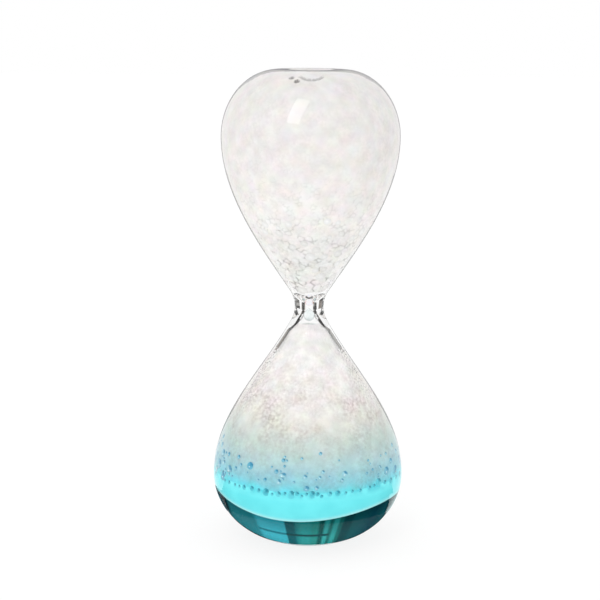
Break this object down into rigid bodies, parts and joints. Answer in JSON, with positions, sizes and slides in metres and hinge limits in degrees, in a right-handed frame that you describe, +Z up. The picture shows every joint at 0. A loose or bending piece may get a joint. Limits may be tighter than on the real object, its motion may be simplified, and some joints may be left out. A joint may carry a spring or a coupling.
{
  "type": "liquid motion timer",
  "caption": "Sealed glass hourglass timer with foam in both bulbs and cyan liquid over dark teal liquid in the lower one, with a drop that falls and a bubble that rises.",
  "frame": {"origin": "middle of the flat foot, on the surface that the timer stands on", "axes": "+Z up along the axis of the glass, from the foot to the rim; X and Y are free"},
  "size_m": [0.056, 0.056, 0.1375],
  "materials": {
    "clear_glass": "clear, fire polished",
    "clear_sealant": "clear, glossy",
    "silicone_stopper": "satin",
    "teal_liquid": "clear liquid, dark teal",
    "cyan_liquid": "clear liquid, bright cyan",
    "bubble_film": "thin wet film",
    "blue_foam": "fine wet foam",
    "white_foam": "coarse dry foam"
  },
  "bodies": {
    "glass": {"lower_bulb": "clear_glass", "upper_bulb": "clear_glass", "neck_tube": "clear_glass", "seal_bead": "clear_sealant", "fill_stopper": "silicone_stopper", "deep_liquid": "teal_liquid", "cyan_liquid": "cyan_liquid", "ring_bubbles": "bubble_film", "wall_bubbles": "bubble_film", "neck_bubbles": "bubble_film", "blue_foam": "blue_foam", "white_foam": "white_foam", "upper_foam": "white_foam"},
    "drop": {"falling_drop": "cyan_liquid"},
    "bubble": {"rising_bubble": "bubble_film"}
  },
  "joints": [
    {"name": "drop_fall", "type": "slide", "parent": "glass", "child": "drop", "axis": [0, 0, -1], "range_m": [0, 0.0436]},
    {"name": "bubble_rise", "type": "slide", "parent": "glass", "child": "bubble", "axis": [0, 0, 1], "range_m": [0, 0.014]}
  ],
  "couplings": [
    {"joint": "bubble_rise", "follows": "drop_fall", "ratio": 0.32}
  ]
}
